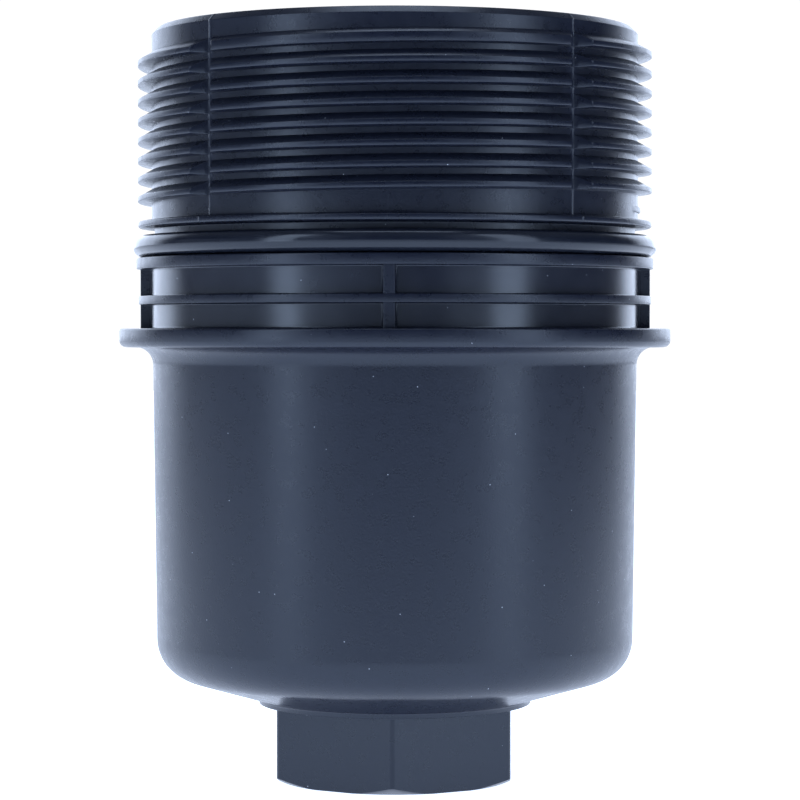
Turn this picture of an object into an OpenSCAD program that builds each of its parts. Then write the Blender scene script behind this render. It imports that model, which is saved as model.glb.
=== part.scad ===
// Cartridge oil filter: a screw-in moulded cap that holds a replaceable element, a bypass
// valve and a drain plug. +Z points to the open mouth. The origin is the centre of the hex's
// end face, on which the filter stands.

/* [Cap] */
// Height from the hex's end face to the mouth rim
cap_h = 117; // [116:0.5:120]
// Size of the hex, across its flats
hex_af = 36; // [35:0.5:36.5]
// Height of the hex
hex_h = 11.9; // [10:0.1:12.2]
// Outer radius of the cup wall under the flange
cup_r = 37.75; // [37.5:0.05:37.85]
// How much smaller the wall's radius is at its foot
cup_draft = 0.55; // [0.3:0.05:0.8]
// Outer radius of the corner between wall and floor
corner_r = 6.5; // [5:0.5:7.5]
// Slope of the conical floor, in degrees
floor_slope = 16.2; // [15:0.1:17]
// Thickness of the wall and the floor
wall = 3; // [2.7:0.1:3.1]
// Radius of the flange
flange_r = 43; // [42:0.5:45]
// Level of the flange's upper, seating face
flange_z = 70.5; // [70:0.5:71]
// Thickness of the flange
flange_t = 2.9; // [2.5:0.1:3.5]

/* [Rib band, groove and mouth] */
// Radius of the neck between the rings
neck_r = 37.9; // [37.7:0.05:38]
// Radius of the ring in the middle of the rib band
ring_r = 39.95; // [39.5:0.05:40.2]
// Radius of the pilot ring under the O-ring
pilot_r = 40.3; // [40:0.05:40.5]
// Height of the pilot ring's top above the flange
groove_low = 10.9; // [10.5:0.1:11.5]
// Width of the O-ring groove
groove_w = 4.4; // [4.2:0.1:4.6]
// Radius of the groove's floor
groove_r = 37.45; // [37.3:0.05:37.5]
// Radius of the ridge that keeps the O-ring in
ridge_r = 40; // [39.6:0.1:40.2]
// Number of upright ribs in the band
rib_count = 4; // [2:1:12]
// Width of an upright rib
rib_w = 1.8; // [1:0.1:3]

/* [Mouth thread] */
// Outer radius of the thread
thread_r = 40.05; // [39.8:0.05:40.2]
// Depth of the thread
thread_depth = 2.15; // [1.8:0.05:2.3]
// Pitch of the thread
thread_pitch = 3; // [2.5:0.5:3]
// Number of turns
thread_turns = 8.1; // [6:0.1:8.2]

/* [O-ring] */
// Section of the cap's O-ring
o_ring_d = 3.4; // [3.2:0.1:3.6]

/* [Drain plug] */
// Thread diameter of the plug
plug_d = 12; // [10:1:12]
// Radius of the plug's head
plug_head_r = 8.5; // [8:0.1:9]
// Socket in the plug's head, across its flats
plug_socket_af = 8; // [6:1:8]
// Section of the plug's O-ring
plug_ring_d = 1.9; // [1.8:0.1:2]

/* [Bypass valve] */
// Outer radius of the carrier's neck, on which the element's lower seal slides
carrier_r = 13.2; // [13:0.1:13.4]
// Level of the carrier's top
carrier_top = 42; // [41:0.5:44]
// Wire of the valve spring
valve_wire = 1.1; // [0.9:0.1:1.2]
// Radius of the valve disc
valve_r = 9.3; // [9:0.1:9.8]

/* [Preload spring] */
// Wire of the preload spring
preload_wire = 1.8; // [1.5:0.1:2]
// Radius of the preload spring to the middle of its wire
preload_r = 21.5; // [21:0.5:22]

/* [Element] */
// Radius of the element's end caps
element_r = 31.5; // [30.5:0.1:31.8]
// Level of the element's lower face
element_z = 28.2; // [28.1:0.1:28.6]
// Level of the upper end cap's top face
element_top = 108.6; // [100:0.2:110]
// Number of pleats
pleat_count = 56; // [40:1:64]
// Thickness of the pleated paper
paper_t = 0.8; // [0.5:0.1:1]
// Inner radius of the upper seal, for the engine's standpipe
standpipe_r = 12.6; // [12:0.1:13]

/* [Hidden] */

$fn = 96;
run_gap = 0.05;                 // running clearance of a shaft or seal
tau = 360;

nylon = [0.13, 0.14, 0.17];
rubber = [0.06, 0.06, 0.07];
steel = [0.62, 0.63, 0.65];
paper = [0.86, 0.78, 0.58];

// Cap, outside
collar_r = hex_af / 2 / cos(30) + 0.5;
collar_z = hex_h + 0.8;         // where the collar meets the conical floor
foot_r = cup_r - cup_draft;
corner_c = [foot_r - corner_r, collar_z + (foot_r - corner_r - collar_r) * tan(floor_slope)
    + corner_r / cos(floor_slope)];
fillet_r = 2.7;                 // under the flange
flange_edge = 1;
wall_top = flange_z - flange_t - fillet_r;
ring_low = flange_z + 3.7;      // rib band: the middle ring
ring_high = ring_low + 1.3;
pilot_high = flange_z + groove_low;
pilot_low = pilot_high - 1.7;
groove_high = pilot_high + groove_w;
ridge_high = groove_high + 1.4;
rib_r = 39.85;
root_r = thread_r - thread_depth;
hex_chamfer_r = hex_af / 2 + 0.2;
hex_chamfer_slope = 2;

// Cap, inside
bore_r = neck_r - wall - 0.1;
bore_foot_r = foot_r - wall;
well_r = 15;                    // drain well inside the hex
well_z = 3.6;
floor_z = 14;                   // where the conical floor meets the well
inner_corner_r = corner_r - wall;
inner_c = [bore_foot_r - inner_corner_r, floor_z
    + (bore_foot_r - inner_corner_r - well_r) * tan(floor_slope)
    + inner_corner_r / cos(floor_slope)];
boss_r = 11.2;                  // boss of the drain plug
boss_z = 12;
hub_r = 17.4;                   // ring around the valve carrier
hub_z = 17.5;
hub_gap = 6;
ledge_z = 17;                   // seat of the preload spring
ledge_r = 25;
ledge_foot_z = floor_z + 0.2;   // sunk in the sloping floor, above its underside
centring_r = preload_r - preload_wire / 2 - 0.4;

// Drain plug
plug_thread_r = plug_d / 2;
plug_head_z = 0.6;              // the head lies this far inside the hex's end face
plug_head_t = 2.6;
plug_face_z = plug_head_z + plug_head_t;
plug_neck_r = plug_thread_r - 0.5;
plug_ring_r = plug_neck_r + plug_ring_d / 2 + 0.02;
plug_ring_z = plug_face_z + plug_ring_d / 2 + 0.05;
plug_ring_seat_z = plug_face_z + plug_ring_d + 0.2;

// Valve carrier and bypass valve
skirt_r = well_r - run_gap;
skirt_top = 22.5;
carrier_bore_r = carrier_r - 1.8;
seat_z = 22.5;
seat_t = 1.5;
port_r = 7.2;
seal_t = 0.9;
disc_z = seat_z + seat_t + seal_t;
disc_t = 1.2;
stem_r = 2;
retainer_z = 38.5;
retainer_t = 1;
valve_spring_r = 6.4;
valve_spring_turns = 6;

// Preload spring and plate
plate_z = 27;
plate_t = 1.1;
plate_r = 27;
preload_turns = 3.5;

// Element
core_r = 16.4;
core_t = 1.2;
pleat_in_r = 17.2;
pleat_out_r = 30.2;
fold_reach = 0.8;               // how much of the paper's thickness a fold's tip adds
pleat_tip_r = pleat_out_r + fold_reach * paper_t;
end_t = 2.2;
rim_h = 4.6;                    // skirt of an end cap
rim_t = 0.9;
rim_edge = 0.8;
seal_r = 16;                    // recess of a seal in an end cap
seal_recess = 0.8;
lower_hole_r = core_r - core_t - 0.9;
upper_hole_r = standpipe_r + 1.4;
bead_levels = [0.3, 0.7];
window_rows = 8;

// Points of an arc about c, from angle a to angle b
function arc(c, r, a, b, n = 8) =
    [for (i = [0:n]) let (t = a + (b - a) * i / n) c + r * [cos(t), sin(t)]];

// A tube of n sides swept along a coil: the radius to the wire's middle, wire, first and last
// level of the wire's middle, number of turns, and one dead turn at each end
module coil(r, wire, z0, z1, turns, steps = 24, n = 8) {
    count = ceil(turns * steps);
    dead = wire * 1.02;
    function rise(t) = t < 1 ? dead * t
        : t > turns - 1 ? z1 - z0 - dead * (turns - t)
        : dead + (z1 - z0 - 2 * dead) * (t - 1) / (turns - 2);
    points = [for (i = [0:count]) let (t = i * turns / count) for (j = [0:n - 1])
        let (p = r + wire / 2 * cos(tau * j / n))
        [p * cos(tau * t), p * sin(tau * t), z0 + rise(t) + wire / 2 * sin(tau * j / n)]];
    faces = concat(
        [[for (j = [n - 1:-1:0]) j]],
        [for (i = [0:count - 1]) for (j = [0:n - 1])
            [i * n + j, i * n + (j + 1) % n, (i + 1) * n + (j + 1) % n, (i + 1) * n + j]],
        [[for (j = [0:n - 1]) count * n + j]]);
    polyhedron(points, faces, convexity = 10);
}

// The right-hand buttress ridge of the mouth thread, fading in and out at its ends
module mouth_thread(steps = 36) {
    first_z = ridge_high + 1.7;
    crest = 0.67;
    embed = 0.5;
    fade_in = 0.25;
    fade_out = 0.1;
    count = ceil(thread_turns * steps);
    function fade(t) = min(1, 0.15 + t / fade_in, 0.15 + (thread_turns - t) / fade_out);
    points = [for (i = [0:count]) let (t = i * thread_turns / count, h = thread_depth * fade(t),
            z = first_z + thread_pitch * t)
        for (q = [[-embed, -crest / 2 - tan(5) * h], [h, -crest / 2], [h, crest / 2],
                [-embed, crest / 2 + tan(30) * h]])
            [(root_r + q[0]) * cos(tau * t), (root_r + q[0]) * sin(tau * t), z + q[1]]];
    faces = concat([[3, 2, 1, 0]],
        [for (i = [0:count - 1]) for (j = [0:3])
            [i * 4 + j, i * 4 + (j + 1) % 4, (i + 1) * 4 + (j + 1) % 4, (i + 1) * 4 + j]],
        [[for (j = [0:3]) count * 4 + j]]);
    polyhedron(points, faces, convexity = 10);
}

// Outside of the cap above the hex
module cap_outside() {
    rotate_extrude() polygon(concat(
        [[0, hex_h - 1], [collar_r - 0.6, hex_h - 1], [collar_r - 0.6, hex_h],
            [collar_r, hex_h], [collar_r, collar_z]],
        arc(corner_c, corner_r, floor_slope - 90, 0),
        arc([cup_r + fillet_r, wall_top], fillet_r, 180, 90),
        arc([flange_r - flange_edge, flange_z - flange_t + flange_edge], flange_edge, -90, 0, 4),
        [[flange_r, flange_z - 0.3], [flange_r - 0.3, flange_z], [neck_r, flange_z],
            [neck_r, ring_low], [ring_r, ring_low], [ring_r, ring_high], [neck_r, ring_high],
            [neck_r, pilot_low], [pilot_r, pilot_low], [pilot_r, pilot_high],
            [groove_r, pilot_high], [groove_r, groove_high],
            [ridge_r - 0.4, groove_high], [ridge_r, groove_high + 0.5],
            [ridge_r, ridge_high - 0.5], [ridge_r - 0.4, ridge_high],
            [root_r, ridge_high + 0.4], [root_r, cap_h - 0.7], [root_r - 0.7, cap_h],
            [0, cap_h]]));
}

// The hex, with its lower edge turned to a cone
module hex_foot() {
    intersection() {
        rotate([0, 0, 30]) cylinder(r = hex_af / 2 / cos(30), h = hex_h, $fn = 6);
        cylinder(r1 = hex_chamfer_r, r2 = hex_chamfer_r + hex_chamfer_slope * hex_h, h = hex_h);
    }
}

// Hollow of the cap, down to the drain well
module cap_hollow() {
    rotate_extrude() polygon(concat(
        [[0, well_z], [well_r, well_z], [well_r, floor_z]],
        arc(inner_c, inner_corner_r, floor_slope - 90, 0, 6),
        [[bore_r, wall_top], [bore_r, cap_h - 0.5], [bore_r + 0.5, cap_h],
            [bore_r + 0.5, cap_h + 1], [0, cap_h + 1]]));
}

// Upright ribs of the band above the flange
module band_ribs() {
    for (i = [0:rib_count - 1])
        intersection() {
            rotate([0, 0, i * tau / rib_count - 90]) translate([neck_r - 1, -rib_w / 2, flange_z - 0.5])
                cube([5, rib_w, pilot_low - flange_z + 1]);
            cylinder(r = rib_r, h = cap_h);
        }
}

// What stands on the floor inside: the plug's boss and its webs, the hub and the spring's seat
module floor_features() {
    cylinder(r = boss_r, h = boss_z);
    for (i = [0:5])
        rotate([0, 0, i * 60]) translate([boss_r - 1, -0.8, well_z - 1])
            cube([well_r - boss_r + 1.5, 1.6, boss_z - well_z + 1]);
    difference() {
        translate([0, 0, floor_z - 2]) cylinder(r = hub_r, h = hub_z - floor_z + 2);
        cylinder(r = well_r, h = cap_h);
        for (i = [0:3])
            rotate([0, 0, 45 + i * 90]) translate([well_r - 1, -hub_gap / 2, floor_z + 0.5])
                cube([5, hub_gap, 9]);
    }
    difference() {
        translate([0, 0, ledge_foot_z]) cylinder(r = ledge_r, h = ledge_z - ledge_foot_z);
        cylinder(r = hub_r - 0.5, h = cap_h);
        for (i = [0:3])
            rotate([0, 0, 45 + i * 90]) translate([well_r - 1, -hub_gap / 2, floor_z + 0.5])
                cube([12, hub_gap, 9]);
    }
    for (i = [0:2])
        rotate([0, 0, i * 120]) intersection() {
            translate([hub_r - 0.5, -1.5, ledge_z - 0.5]) cube([6, 3, 2.3]);
            cylinder(r = centring_r, h = cap_h);
        }
}

// Recess, seal seat and threaded passage of the drain plug
module drain_passage() {
    translate([0, 0, -1]) cylinder(r = plug_head_r + 0.3, h = plug_face_z + 1);
    cylinder(r = plug_ring_r + plug_ring_d / 2 + run_gap, h = plug_ring_seat_z);
    cylinder(r = plug_thread_r + run_gap, h = cap_h);
}

module filter_cap() {
    color(nylon) difference() {
        union() {
            difference() {
                union() {
                    cap_outside();
                    hex_foot();
                    band_ribs();
                    mouth_thread();
                }
                cap_hollow();
            }
            floor_features();
        }
        drain_passage();
    }
}

module cap_o_ring() {
    color(rubber) translate([0, 0, pilot_high + o_ring_d / 2 + 0.1])
        rotate_extrude() translate([groove_r + o_ring_d / 2, 0]) circle(d = o_ring_d, $fn = 32);
}

module drain_plug() {
    socket_depth = 6;
    color(nylon) difference() {
        union() {
            translate([0, 0, plug_head_z]) cylinder(r = plug_head_r, h = plug_head_t);
            cylinder_up(plug_neck_r, plug_face_z - 0.5, plug_ring_seat_z + 0.2);
            cylinder_up(plug_thread_r, plug_ring_seat_z + 0.2, boss_z - 1);
            translate([0, 0, boss_z - 1])
                cylinder(r1 = plug_thread_r, r2 = plug_thread_r - 0.8, h = 0.8);
        }
        translate([0, 0, -1])
            cylinder(r = plug_socket_af / 2 / cos(30), h = socket_depth + plug_head_z + 1, $fn = 6);
    }
}

// A cylinder between two levels
module cylinder_up(r, z0, z1) {
    translate([0, 0, z0]) cylinder(r = r, h = z1 - z0);
}

// A flat ring or tube between two levels
module tube(r_in, r_out, z0, z1) {
    difference() {
        cylinder_up(r_out, z0, z1);
        cylinder_up(r_in, z0 - 1, z1 + 1);
    }
}

module drain_plug_o_ring() {
    color(rubber) translate([0, 0, plug_ring_z])
        rotate_extrude() translate([plug_ring_r, 0]) circle(d = plug_ring_d, $fn = 24);
}

module valve_carrier() {
    window_w = 6;
    color(nylon) difference() {
        rotate_extrude() polygon([
            [skirt_r - 1.8, boss_z], [skirt_r, boss_z], [skirt_r, skirt_top - 1.5],
            [carrier_r, skirt_top], [carrier_r, carrier_top - 0.8],
            [carrier_r - 0.8, carrier_top], [carrier_bore_r, carrier_top],
            [carrier_bore_r, seat_z], [port_r + 1.8, seat_z], [port_r + 1.8, seat_z - 1.5],
            [skirt_r - 1.8, seat_z - 1.5]]);
        for (i = [0:3])
            rotate([0, 0, 45 + i * 90]) translate([skirt_r - 4, -window_w / 2, floor_z + 0.5])
                cube([8, window_w, skirt_top - 2.6 - floor_z]);
    }
}

module bypass_valve_seat() {
    lip = 0.8;
    color(steel) difference() {
        cylinder_up(carrier_bore_r, seat_z, seat_z + seat_t - 0.4);
        cylinder_up(port_r, seat_z - 1, seat_z + seat_t + 1);
    }
    color(steel) tube(port_r, port_r + lip, seat_z + 0.2, seat_z + seat_t);
}

module bypass_valve_seal() {
    color(rubber) tube(port_r - 1.4, valve_r, seat_z + seat_t, disc_z);
}

module bypass_valve_disc() {
    stem_top = retainer_z + retainer_t + 1.5;
    color(steel) {
        cylinder_up(valve_r, disc_z, disc_z + disc_t);
        cylinder_up(port_r - 1.45, disc_z - seal_t + 0.05, disc_z + 0.2);
        cylinder_up(4, disc_z + 0.5, disc_z + disc_t + 1.2);
        cylinder_up(stem_r, disc_z + 0.5, stem_top - 0.5);
        translate([0, 0, stem_top - 0.5]) cylinder(r1 = stem_r, r2 = stem_r - 0.5, h = 0.5);
    }
}

module bypass_valve_spring() {
    color(steel) coil(valve_spring_r, valve_wire, disc_z + disc_t + valve_wire / 2 + 0.05,
        retainer_z - valve_wire / 2 - 0.05, valve_spring_turns, 20, 6);
}

module bypass_spring_retainer() {
    rim_h = 2.4;
    outer_turn = 22;            // degrees from a spoke's middle to its window, at the rim
    inner_turn = 32;            // and at the hub
    color(steel) difference() {
        union() {
            cylinder_up(carrier_bore_r, retainer_z, retainer_z + retainer_t);
            tube(carrier_bore_r - 0.9, carrier_bore_r, retainer_z + 0.2, retainer_z + rim_h);
            cylinder_up(stem_r + 1.4, retainer_z, retainer_z + 1.8);
        }
        cylinder_up(stem_r + run_gap, retainer_z - 1, retainer_z + 3);
        for (i = [0:3])
            rotate([0, 0, i * 90]) translate([0, 0, retainer_z - 1])
                linear_extrude(4) polygon(concat(
                    arc([0, 0], carrier_bore_r - 1.6, outer_turn, 90 - outer_turn, 6),
                    arc([0, 0], stem_r + 2.6, 90 - inner_turn, inner_turn, 3)));
    }
}

module preload_spring() {
    color(steel) coil(preload_r, preload_wire, ledge_z + preload_wire / 2 + 0.05,
        plate_z - preload_wire / 2 - 0.05, preload_turns, 26, 8);
}

module spring_plate() {
    hole_r = carrier_r + 1;
    color(steel) difference() {
        union() {
            cylinder_up(plate_r, plate_z, plate_z + plate_t);
            cylinder_up(centring_r, plate_z - 1.6, plate_z + 0.5);
        }
        cylinder_up(centring_r - 1.1, plate_z - 2, plate_z);
        cylinder_up(hole_r, plate_z - 2, plate_z + 2);
        for (i = [0:5])
            rotate([0, 0, i * 60]) translate([(hole_r + centring_r) / 2 - 1, -3, plate_z - 0.5])
                cube([2, 6, 3]);
    }
}

// An upper end disc of the element with its top face at z = 0: r_in is its hole, and collar is
// the height of the ring around its seal's recess
module end_disc(r_in, collar) {
    rotate_extrude() polygon([[r_in, -end_t], [element_r - rim_t, -end_t],
        [element_r - rim_t, -rim_h], [element_r, -rim_h], [element_r, -rim_edge],
        [element_r - rim_edge, 0], [seal_r + 1.4, 0], [seal_r + 1.2, collar], [seal_r, collar],
        [seal_r, -seal_recess], [r_in, -seal_recess]]);
}

module lower_end_cap() {
    color(nylon) translate([0, 0, element_z]) mirror([0, 0, 1]) end_disc(lower_hole_r, 0);
}

module upper_end_cap() {
    color(nylon) translate([0, 0, element_top]) end_disc(upper_hole_r, 1);
}

// Rubber lip ring in an end disc
module lip_ring(r_in, r_out, z0, z1) {
    lip = 0.7;
    rotate_extrude() polygon([[r_in, z0 + lip], [r_in + lip, z0], [r_out, z0], [r_out, z1],
        [r_in + lip, z1], [r_in, z1 - lip]]);
}

module lower_seal_ring() {
    color(rubber) lip_ring(carrier_r + run_gap, lower_hole_r, element_z - 0.05,
        element_z + 3.2);
}

module upper_seal_ring() {
    color(rubber) {
        lip_ring(standpipe_r, upper_hole_r, element_top - 3, element_top + 1.6);
        tube(upper_hole_r - 0.1, seal_r - 0.1, element_top - seal_recess + 0.05,
            element_top + 1.2);
    }
}

module centre_core() {
    low = element_z + end_t;
    high = element_top - end_t;
    row_h = (high - low) / window_rows;
    window_w = 4.4;
    color(nylon) difference() {
        tube(core_r - core_t, core_r, low, high);
        for (k = [0:window_rows - 1]) for (i = [0:3])
            rotate([0, 0, i * 45 + (k % 2) * 22.5])
                translate([-core_r - 1, -window_w / 2, low + (k + 0.22) * row_h])
                    cube([2 * core_r + 2, window_w, row_h * 0.56]);
    }
}

// Zigzag outline of the pleats, moved out or in by half the paper's thickness
function pleat_line(shift) = [for (i = [0:2 * pleat_count - 1])
    let (r = (i % 2 == 0 ? pleat_out_r : pleat_in_r) + shift * 2 * fold_reach,
        a = i * 180 / pleat_count)
        r * [cos(a), sin(a)]];

module pleated_media() {
    color(paper) translate([0, 0, element_z + end_t]) linear_extrude(element_top - element_z
        - 2 * end_t) difference() {
        polygon(pleat_line(paper_t / 2));
        polygon(pleat_line(-paper_t / 2));
    }
}

// A strip of tin folded over the fold where the two ends of the paper meet
module pleat_seam_clip() {
    tip = pleat_tip_r + 0.05;
    inset = 6;                  // from the end caps
    depth = 6;                  // how far the strip reaches over the fold
    tin = 0.36;
    foot = 0.56;                // half the strip's inner width at its edges
    nose = 0.12;                // and at the fold's tip
    color(steel) rotate([0, 0, -90]) translate([0, 0, element_z + end_t + inset])
        linear_extrude(element_top - element_z - 2 * (end_t + inset)) polygon([
            [tip - depth, foot], [tip, nose], [tip, -nose], [tip - depth, -foot],
            [tip - depth, -foot - tin], [tip + tin, -nose - tin], [tip + tin, nose + tin],
            [tip - depth, foot + tin]]);
}

// Glue beads around the pleats, which stop at the seam clip
module pleat_spacer_beads() {
    span = element_top - element_z;
    half_h = 0.8;
    bead_t = 0.54;
    gap = 1.6;                  // at the clip
    color([0.75, 0.72, 0.62]) for (f = bead_levels)
        translate([0, 0, element_z + f * span]) difference() {
            tube(pleat_tip_r + 0.02, pleat_tip_r + 0.02 + bead_t, -half_h, half_h);
            rotate([0, 0, -90]) translate([pleat_out_r, -gap / 2, -2 * half_h])
                cube([3, gap, 4 * half_h]);
        }
}

filter_cap();
cap_o_ring();
drain_plug();
drain_plug_o_ring();
valve_carrier();
bypass_valve_seat();
bypass_valve_disc();
bypass_valve_seal();
bypass_valve_spring();
bypass_spring_retainer();
preload_spring();
spring_plate();
lower_end_cap();
lower_seal_ring();
centre_core();
pleated_media();
pleat_seam_clip();
pleat_spacer_beads();
upper_end_cap();
upper_seal_ring();
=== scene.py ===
import math
import random

import bmesh
import bpy
import numpy as np
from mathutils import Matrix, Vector


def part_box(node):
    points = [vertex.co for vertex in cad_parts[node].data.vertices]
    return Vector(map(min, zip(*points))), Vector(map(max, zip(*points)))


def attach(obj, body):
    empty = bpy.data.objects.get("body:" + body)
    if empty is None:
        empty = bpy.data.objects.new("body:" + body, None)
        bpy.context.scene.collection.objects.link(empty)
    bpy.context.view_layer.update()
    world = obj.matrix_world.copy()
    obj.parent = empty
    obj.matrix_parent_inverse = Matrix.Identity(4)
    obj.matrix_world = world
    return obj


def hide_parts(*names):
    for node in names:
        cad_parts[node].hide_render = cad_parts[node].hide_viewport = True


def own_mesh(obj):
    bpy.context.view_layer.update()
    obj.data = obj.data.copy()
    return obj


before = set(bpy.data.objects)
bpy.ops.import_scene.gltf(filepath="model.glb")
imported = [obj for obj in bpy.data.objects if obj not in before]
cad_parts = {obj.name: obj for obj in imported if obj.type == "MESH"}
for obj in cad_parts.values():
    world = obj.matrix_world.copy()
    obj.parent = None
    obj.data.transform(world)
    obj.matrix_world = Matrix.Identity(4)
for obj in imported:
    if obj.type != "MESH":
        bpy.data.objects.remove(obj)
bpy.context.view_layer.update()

MM = 0.001
TURN = 2 * math.pi
BLUE_WHITE = (0.70, 0.80, 1.0)


# ---------------------------------------------------------------- sizes from the frame, in mm

def low(node):
    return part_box(node)[0] / MM


def high(node):
    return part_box(node)[1] / MM


def extent(node):
    """Outer radius, lowest level and highest level of a node."""
    return high(node).x, low(node).z, high(node).z


CAP_H = high("filter_cap").z
FLANGE_R = high("filter_cap").x - 0.02
ELEMENT_R = high("upper_end_cap").x


# ---------------------------------------------------------------- mesh helpers

def arc_points(before, corner, after, radius, steps=4):
    """The points that round a corner of an outline; the radius shrinks on short sides."""
    a = np.subtract(before, corner)
    b = np.subtract(after, corner)
    len_a, len_b = np.linalg.norm(a), np.linalg.norm(b)
    a, b = a / len_a, b / len_b
    half = math.acos(max(-1.0, min(1.0, float(a @ b)))) / 2
    if radius <= 0 or half > math.pi / 2 - 0.01:
        return [tuple(corner)]
    reach = min(radius / math.tan(half), 0.49 * len_a, 0.49 * len_b)
    radius = reach * math.tan(half)
    middle = a + b
    middle = np.asarray(corner) + middle / np.linalg.norm(middle) * radius / math.sin(half)
    start = np.asarray(corner) + a * reach - middle
    end = np.asarray(corner) + b * reach - middle
    turn = math.atan2(start[0] * end[1] - start[1] * end[0], float(start @ end))
    points = []
    for i in range(steps + 1):
        t = turn * i / steps
        points.append((middle[0] + start[0] * math.cos(t) - start[1] * math.sin(t),
                       middle[1] + start[0] * math.sin(t) + start[1] * math.cos(t)))
    return points


def rounded(outline, closed=True, steps=4):
    """An outline of (x, y, corner radius) turned into points with round corners."""
    points = []
    count = len(outline)
    for i, (x, y, radius) in enumerate(outline):
        if not closed and i in (0, count - 1):
            points.append((x, y))
            continue
        before, after = outline[i - 1][:2], outline[(i + 1) % count][:2]
        points += arc_points(before, (x, y), after, radius, steps)
    return points


def arc(centre, radius, start, end, steps):
    """Points of an arc between two angles."""
    points = []
    for i in range(steps + 1):
        t = start + (end - start) * i / steps
        points.append((centre[0] + radius * math.cos(t), centre[1] + radius * math.sin(t)))
    return points


def add_object(name, data):
    """A new object in the scene."""
    thing = bpy.data.objects.new(name, data)
    bpy.context.scene.collection.objects.link(thing)
    return thing


def add_piece(name, shape, body, material, node, sharp=32):
    """Makes the object from its points, in mm, and faces, hangs it on its body and hides the CAD node that
    it stands for.
    """
    points, faces = shape
    mesh = bpy.data.meshes.new(name)
    mesh.from_pydata([tuple(float(c) * MM for c in p) for p in points], [], faces)
    mesh.update()
    work = bmesh.new()
    work.from_mesh(mesh)
    bmesh.ops.recalc_face_normals(work, faces=work.faces)
    work.to_mesh(mesh)
    work.free()
    mesh.polygons.foreach_set("use_smooth", [True] * len(mesh.polygons))
    mesh.set_sharp_from_angle(angle=math.radians(sharp))
    mesh.materials.append(material)
    piece = add_object(name, mesh)
    weighted = piece.modifiers.new("weighted_normals", "WEIGHTED_NORMAL")
    weighted.keep_sharp = True
    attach(piece, body)
    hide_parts(node)
    return piece


def bevel(piece, width, limit=60):
    """Rounds the edges of a piece, ahead of its normals."""
    modifier = piece.modifiers.new("edges", "BEVEL")
    modifier.width = width * MM
    modifier.segments = 2
    modifier.limit_method = "ANGLE"
    modifier.angle_limit = math.radians(limit)
    modifier.harden_normals = False
    piece.modifiers.move(len(piece.modifiers) - 1, 0)


def turned(r, z, angle):
    """The point at radius r and height z, at an angle round Z."""
    return r * math.cos(angle), r * math.sin(angle), z


def band(a, b, count):
    """Faces between two rings of points whose first indices are a and b."""
    return [(a + j, a + (j + 1) % count, b + (j + 1) % count, b + j) for j in range(count)]


def stacked(rings):
    """Points and faces of rings of as many points each, joined in order and capped at both ends."""
    columns = len(rings[0])
    last = (len(rings) - 1) * columns
    points = [point for ring in rings for point in ring]
    faces = []
    for i in range(0, last, columns):
        faces += band(i, i + columns, columns)
    faces.append(tuple(range(columns)))
    faces.append(tuple(last + j for j in reversed(range(columns))))
    return points, faces


def lathe(outline, steps=192):
    """Points and faces of a closed (r, z) outline turned around Z. An outline may start and
    end on the axis."""
    ends_on_axis = abs(outline[0][0]) < 1e-6 and abs(outline[-1][0]) < 1e-6
    rings = outline[1:-1] if ends_on_axis else outline
    points = []
    faces = []
    for r, z in rings:
        points += [turned(r, z, TURN * j / steps) for j in range(steps)]
    pairs = len(rings) - 1 if ends_on_axis else len(rings)
    for i in range(pairs):
        faces += band(i * steps, (i + 1) % len(rings) * steps, steps)
    if ends_on_axis:
        first, last = len(points), len(points) + 1
        points += [(0, 0, outline[0][1]), (0, 0, outline[-1][1])]
        top = (len(rings) - 1) * steps
        for j in range(steps):
            n = (j + 1) % steps
            faces.append((first, n, j))
            faces.append((last, top + j, top + n))
    return points, faces


def sweep(path, section_r, sides=14, tall=None):
    """A round wire along an open path; with tall, its section is an ellipse of that half height."""
    tall = tall or section_r
    rings = []
    for i, here in enumerate(path):
        here = Vector(here)
        ahead = Vector(path[min(i + 1, len(path) - 1)])
        behind = Vector(path[max(i - 1, 0)])
        along = (ahead - behind).normalized()
        out = Vector((here.x, here.y, 0)).normalized()
        up = along.cross(out).normalized()
        out = up.cross(along).normalized()
        ring = []
        for j in range(sides):
            angle = TURN * j / sides
            ring.append(tuple(here + section_r * math.cos(angle) * out + tall * math.sin(angle) * up))
        rings.append(ring)
    return stacked(rings)


def coil_path(radius, wire, low_z, high_z, turns, steps=48):
    """Middle line of a spring's wire, with one dead turn at each end."""
    dead = wire * 1.02
    path = []
    count = int(turns * steps)
    for i in range(count + 1):
        t = turns * i / count
        if t < 1:
            z = low_z + dead * t
        elif t > turns - 1:
            z = high_z - dead * (turns - t)
        else:
            z = low_z + dead + (high_z - low_z - 2 * dead) * (t - 1) / (turns - 2)
        path.append(turned(radius, z, TURN * t))
    return path


def cells(n_a, n_b, place, solid):
    """A wall of n_a by n_b cells between two faces, side 0 and side 1; solid(a, b) says which
    cells are there, and they go round in a. place(a, b, side) gives a corner."""
    index = {}
    points = []

    def corner(a, b, side):
        key = (a % n_a, b, side)
        if key not in index:
            index[key] = len(points)
            points.append(place(*key))
        return index[key]

    def there(a, b):
        return 0 <= b < n_b and solid(a % n_a, b)

    faces = []
    for a in range(n_a):
        for b in range(n_b):
            if not there(a, b):
                continue
            ring = [(a, b), (a + 1, b), (a + 1, b + 1), (a, b + 1)]
            faces.append(tuple(corner(x, y, 1) for x, y in ring))
            faces.append(tuple(corner(x, y, 0) for x, y in reversed(ring)))
            sides = [((a, b - 1), 0, 1), ((a + 1, b), 1, 2), ((a, b + 1), 2, 3), ((a - 1, b), 3, 0)]
            for neighbour, i, k in sides:
                if not there(*neighbour):
                    p, q = ring[i], ring[k]
                    faces.append((corner(*p, 0), corner(*q, 0), corner(*q, 1), corner(*p, 1)))
    return points, faces


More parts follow.
